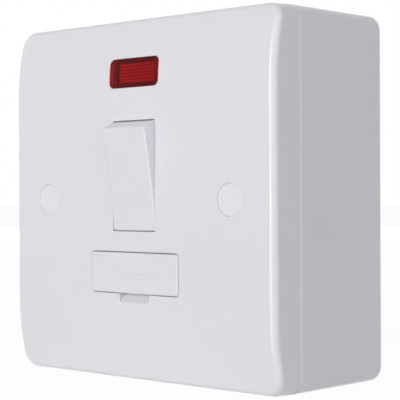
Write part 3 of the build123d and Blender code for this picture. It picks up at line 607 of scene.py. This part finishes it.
def trunnion(side):
    """A pivot at one side of the rocker, with a round end."""
    bpy.ops.mesh.primitive_cylinder_add(vertices=48, radius=TRUNNION_RADIUS * MM,
                                        depth=TRUNNION_LENGTH * MM, rotation=(0, math.pi / 2, 0),
                                        location=on_rocker(side * TRUNNION_X, 0))
    piece = start("trunnion")
    pick(piece, "EDGE", lambda edge: all(near(abs(point.co.x), TRUNNION_END) for point in edge.verts))
    round_edges(TRUNNION_ROUND, segments=3)
    put_down(piece)
    return piece


def plunger_socket(side):
    """A square tube behind the rocker's face that a plunger sits in."""
    bpy.ops.mesh.primitive_cube_add(size=1, location=on_rocker(side * SOCKET_X, SOCKET_OUT),
                                    rotation=(ROCKER_TILT, 0, 0))
    piece = start("plunger_socket", SOCKET_SIZE)
    hollow(piece, -OUTWARD, SOCKET_WALL, SOCKET_DEPTH)
    put_down(piece)
    return piece


def rocker():
    """The rocker: ends round about the hinge, soft edges, hollow behind, with trunnions and sockets."""
    bpy.ops.mesh.primitive_cylinder_add(vertices=60, radius=ROCKER_SWEEP * MM, depth=2 * ROCKER_HALF * MM,
                                        location=HINGE, rotation=(0, math.pi / 2, 0))
    body = start("rocker_moulding")
    cut(body, on_rocker(0, ROCKER_RISE), OUTWARD, use_fill=True, clear_outer=True)
    dish(body)
    cut(body, on_rocker(0, ROCKER_BACK), OUTWARD, use_fill=True, clear_inner=True)
    hollow(body, -OUTWARD, ROCKER_WALL, ROCKER_HOLLOW)
    pick(body, "EDGE", on_rocker_front)
    round_edges(ROCKER_ROUND, segments=6)
    pick(body, "VERT")
    bpy.ops.mesh.remove_doubles(threshold=ROCKER_MERGE_REACH * MM)
    put_down(body)
    merged(body, trunnion(-1), plunger_socket(-1), trunnion(1), plunger_socket(1))
    put_down(body)
    return body


belongs(rocker(), "rocker", "rocker_white", "rocker")

# Fuse carrier, in millimetres; the panel's fit and place are the photograph's
CARRIER_Z = -17.255
CARRIER_PROUD = 0.16
PANEL_FRONT = FACE + CARRIER_PROUD
PANEL_BACK = 36.15
PANEL_GROWTH = (1.0084, 1, 1.019)
PANEL_SHIFT = (-0.11, 0, -0.04)
PANEL_FRONT_GROWTH = (0.992, 1, 0.974)
PANEL_BEVEL = 38.45
PANEL_BEVEL_SHIFT = 0.12
PANEL_ROUND = 0.1
MARK_FRAME = (9.0, 3.4, 1.0)
MARK_LINE = (18.0, 0.17, 0.42)
MARK_LINE_OUT = 0.045
MARK_STROKE = 0.42
MARK_RISE = 0.14
MARK_FRONT_LEAST = 0.1
MARK_ROUND = 0.05


def carrier():
    """The carrier of the solid: its panel fits its opening closely and has a round edge, not a bevel."""
    piece = merged_copy("fuse_carrier", "fuse_carrier_moulding")
    middle = Vector((0, -FACE, CARRIER_Z)) * MM
    pick(piece, "VERT", lambda point: point.co.y < -PANEL_BACK * MM)
    bpy.ops.transform.resize(value=PANEL_GROWTH, center_override=middle)
    move(*PANEL_SHIFT)
    pick(piece, "VERT", lambda point: near(point.co.y, -FACE))
    bpy.ops.transform.resize(value=PANEL_FRONT_GROWTH, center_override=middle)
    pick(piece, "VERT", lambda point: near(point.co.y, -FACE) or near(point.co.y, -PANEL_BEVEL))
    move(0, -CARRIER_PROUD, 0)
    bevel_back = PANEL_BEVEL + CARRIER_PROUD
    pick(piece, "VERT", lambda point: near(point.co.y, -bevel_back))
    move(0, PANEL_BEVEL_SHIFT, 0)
    bevel_back -= PANEL_BEVEL_SHIFT
    pick(piece, "EDGE", lambda edge: all(near(point.co.y, -PANEL_FRONT) for point in edge.verts)
         or all(near(point.co.y, -bevel_back) for point in edge.verts))
    round_edges(PANEL_ROUND, segments=3)
    put_down(piece)
    return piece


def fuse_mark():
    """A plain raised fuse symbol: a frame with a line through it."""
    bpy.ops.mesh.primitive_plane_add(size=1, location=Vector((0, -PANEL_FRONT, CARRIER_Z)) * MM,
                                     rotation=(math.pi / 2, 0, 0))
    mark = start("fuse_symbol", MARK_FRAME)
    pick(mark, "FACE")
    inset(MARK_STROKE)
    bpy.ops.mesh.delete(type="FACE")
    pick(mark, "FACE")
    bpy.ops.mesh.extrude_region_move(TRANSFORM_OT_translate={"value": (0, -MARK_RISE * MM, 0)})
    put_down(mark)
    bpy.ops.mesh.primitive_cube_add(size=1,
                                    location=Vector((0, -(PANEL_FRONT + MARK_LINE_OUT), CARRIER_Z)) * MM)
    merged(mark, start("fuse_symbol_line", MARK_LINE))
    front_least = (PANEL_FRONT + MARK_FRONT_LEAST) * MM
    pick(mark, "EDGE", lambda edge: all(-point.co.y > front_least for point in edge.verts))
    round_edges(MARK_ROUND, segments=2)
    put_down(mark)
    return mark


belongs(carrier(), "fuse_drawer", "carrier_white", "fuse_carrier")
belongs(fuse_mark(), "fuse_drawer", "carrier_white")

# Stage: floor, backdrop and light; the stage's lengths are in metres
WORLD_COLOUR = (1, 0.975, 0.94, 1)
WORLD_STRENGTH = 0.155
FLOOR_SIZE = 6
FLOOR_COLOUR = (0.9, 0.9, 0.9, 1)
FLOOR_ROUGHNESS = 0.9
FLOOR_WHITE_SHARE = 0.96
floor_z = solid_box[0][2]


def seen_by(nodes, links, *rays):
    """One for the rays that are named, such as the camera's own, and nothing for the others."""
    path = nodes.new("ShaderNodeLightPath")
    seen = path.outputs[rays[0]]
    for ray in rays[1:]:
        either = nodes.new("ShaderNodeMath")
        either.operation = "MAXIMUM"
        links.new(seen, either.inputs[0])
        links.new(path.outputs[ray], either.inputs[1])
        seen = either.outputs[0]
    return seen


def mixed(nodes, links, share, first, second):
    """A shader between two shaders."""
    mix = nodes.new("ShaderNodeMixShader")
    links.new(share, mix.inputs[0])
    links.new(first.outputs[0], mix.inputs[1])
    links.new(second.outputs[0], mix.inputs[2])
    return mix


def white_world():
    """White to the eye and in reflections, and a plain soft light on everything."""
    world = bpy.data.worlds.new("studio")
    world.use_nodes = True
    nodes, links = world.node_tree.nodes, world.node_tree.links
    ground = nodes["Background"]
    ground.inputs["Color"].default_value = WORLD_COLOUR
    ground.inputs["Strength"].default_value = WORLD_STRENGTH
    white = nodes.new("ShaderNodeBackground")
    white.inputs["Strength"].default_value = 1.0
    white.inputs["Color"].default_value = (1, 1, 1, 1)
    seen = seen_by(nodes, links, "Is Camera Ray", "Is Glossy Ray", "Is Transmission Ray")
    mix = mixed(nodes, links, seen, ground, white)
    links.new(mix.outputs[0], nodes["World Output"].inputs["Surface"])
    bpy.context.scene.world = world


def pale_floor():
    """White to the eye but for the object's shadow; reflections show the white world in its place."""
    bpy.ops.mesh.primitive_plane_add(size=FLOOR_SIZE, location=(0, 0, floor_z))
    floor = bpy.context.object
    floor.name = "floor"
    material = bpy.data.materials.new("white floor")
    material.use_nodes = True
    nodes, links = material.node_tree.nodes, material.node_tree.links
    matt = nodes["Principled BSDF"]
    matt.inputs["Base Color"].default_value = FLOOR_COLOUR
    matt.inputs["Roughness"].default_value = FLOOR_ROUGHNESS
    share = nodes.new("ShaderNodeMath")
    share.operation = "MULTIPLY"
    share.inputs[1].default_value = FLOOR_WHITE_SHARE
    links.new(seen_by(nodes, links, "Is Camera Ray"), share.inputs[0])
    pale = mixed(nodes, links, share.outputs[0], matt, nodes.new("ShaderNodeEmission"))
    mirrored = seen_by(nodes, links, "Is Glossy Ray", "Is Transmission Ray")
    mix = mixed(nodes, links, mirrored, pale, nodes.new("ShaderNodeBsdfTransparent"))
    links.new(mix.outputs[0], nodes["Material Output"].inputs["Surface"])
    floor.data.materials.append(material)


def towards(azimuth, elevation):
    """The direction of an azimuth, counted from the front towards the right, and an elevation."""
    turn = math.radians(azimuth)
    rise = math.radians(elevation)
    return Vector((math.sin(turn) * math.cos(rise), -math.cos(turn) * math.cos(rise), math.sin(rise)))


def softbox(name, azimuth, elevation, distance, size, watts, colour):
    """A lamp of a width and a height that faces the object from a direction."""
    data = bpy.data.lights.new(name, "AREA")
    data.shape = "RECTANGLE"
    data.size, data.size_y = size
    data.energy = watts
    data.color = colour
    piece = bpy.data.objects.new(name, data)
    bpy.context.scene.collection.objects.link(piece)
    piece.location = towards(azimuth, elevation) * distance
    piece.rotation_euler = (-piece.location).to_track_quat("-Z", "Y").to_euler()


white_world()
pale_floor()
softbox("left softbox", azimuth=-8, elevation=2, distance=1.1, size=(0.3, 0.9), watts=7.6,
        colour=(1, 1, 0.97))
softbox("camera softbox", azimuth=48, elevation=3, distance=1.3, size=(2.8, 2.2), watts=23.0,
        colour=(0.876, 0.9, 1))
softbox("rear softbox", azimuth=205, elevation=2, distance=1.2, size=(1.5, 0.6), watts=13.0,
        colour=(1, 1, 1))
softbox("back softbox", azimuth=160, elevation=65, distance=1.0, size=(0.5, 0.5), watts=0.75,
        colour=(1, 1, 1))

# Camera at the photograph's view
CAMERA_PLACE = Vector((224.847, -257.571, 2.181)) * MM
CAMERA_AZIMUTH = math.radians(42.9134)
CAMERA_PITCH = math.radians(-0.4244)
CAMERA_ROLL = math.radians(-0.2836)
CAMERA_LENS = 120.189
CAMERA_SENSOR = 36
CAMERA_CLIP_START = 0.01

ahead = Vector((-math.sin(CAMERA_AZIMUTH) * math.cos(CAMERA_PITCH),
                math.cos(CAMERA_AZIMUTH) * math.cos(CAMERA_PITCH), math.sin(CAMERA_PITCH)))
level = Vector((math.cos(CAMERA_AZIMUTH), math.sin(CAMERA_AZIMUTH), 0))
upright = level.cross(ahead)
right = level * math.cos(CAMERA_ROLL) + upright * math.sin(CAMERA_ROLL)
up = upright * math.cos(CAMERA_ROLL) - level * math.sin(CAMERA_ROLL)
camera_data = bpy.data.cameras.new("camera")
camera_data.lens = CAMERA_LENS
camera_data.sensor_width = CAMERA_SENSOR
camera_data.sensor_fit = "HORIZONTAL"
camera_data.clip_start = CAMERA_CLIP_START
camera = bpy.data.objects.new("camera", camera_data)
bpy.context.scene.collection.objects.link(camera)
camera_turn = Matrix((right, up, -ahead)).transposed().to_4x4()
camera.matrix_world = Matrix.Translation(CAMERA_PLACE) @ camera_turn
bpy.context.scene.camera = camera
bpy.context.scene.view_settings.view_transform = "Standard"
